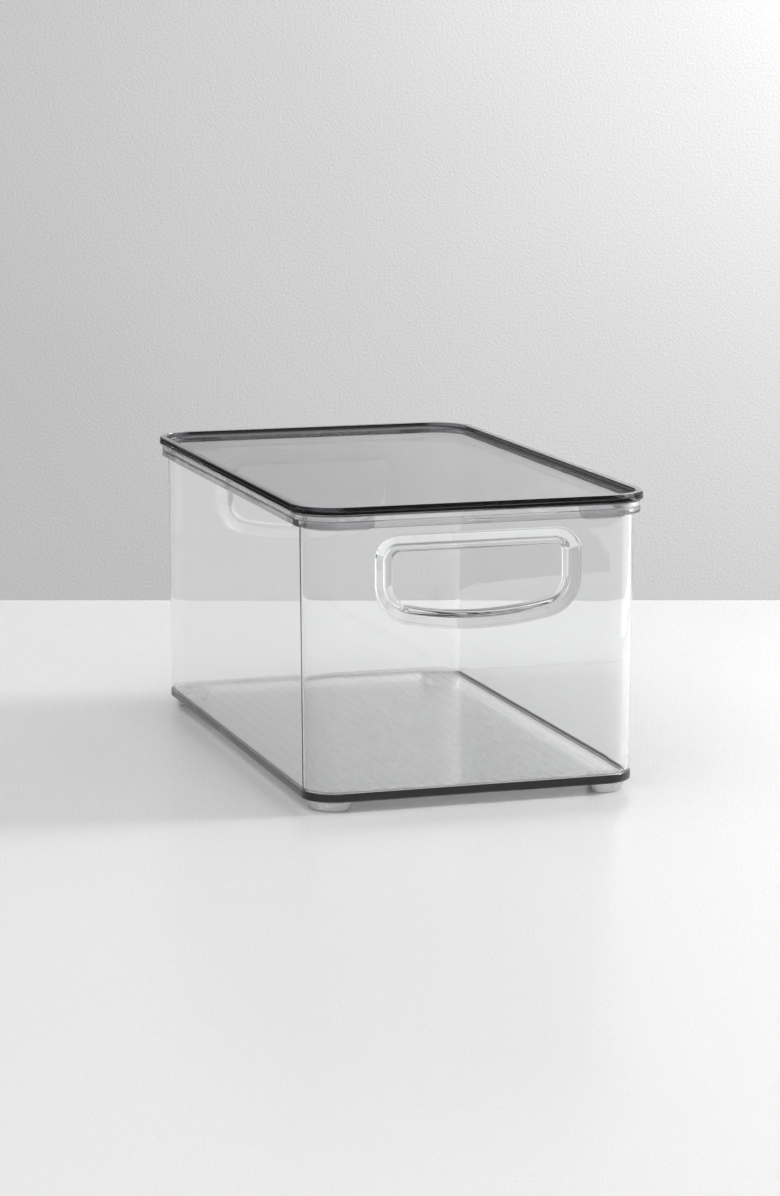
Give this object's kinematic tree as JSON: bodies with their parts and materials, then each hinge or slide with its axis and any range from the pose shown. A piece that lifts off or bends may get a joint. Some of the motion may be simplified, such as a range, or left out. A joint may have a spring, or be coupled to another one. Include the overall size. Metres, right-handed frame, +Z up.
{
  "type": "stackable storage bin",
  "caption": "Clear rectangular storage bin with a D-shaped finger hole in each short end and a lift-off lid whose raised lip locates the feet of a bin stacked on top.",
  "frame": {"origin": "table level, under the middle of the bin", "axes": "+Z up, +Y along the long sides towards the back end, +X across the short ends"},
  "size_m": [0.2, 0.336, 0.167],
  "materials": {
    "bin_plastic": "clear water-white plastic, polished",
    "lid_plastic": "clear plastic with a smoke-grey tint, polished",
    "foot_plastic": "clear plastic, lightly frosted"
  },
  "bodies": {
    "bin": {"bin_body": "bin_plastic", "foot_front_left": "foot_plastic", "foot_front_right": "foot_plastic", "foot_back_left": "foot_plastic", "foot_back_right": "foot_plastic"},
    "cover": {"lid": "lid_plastic"}
  },
  "joints": [
    {"name": "lid_lift", "type": "slide", "parent": "bin", "child": "cover", "axis": [0, 0, 1], "range_m": [0, 0.08]}
  ]
}
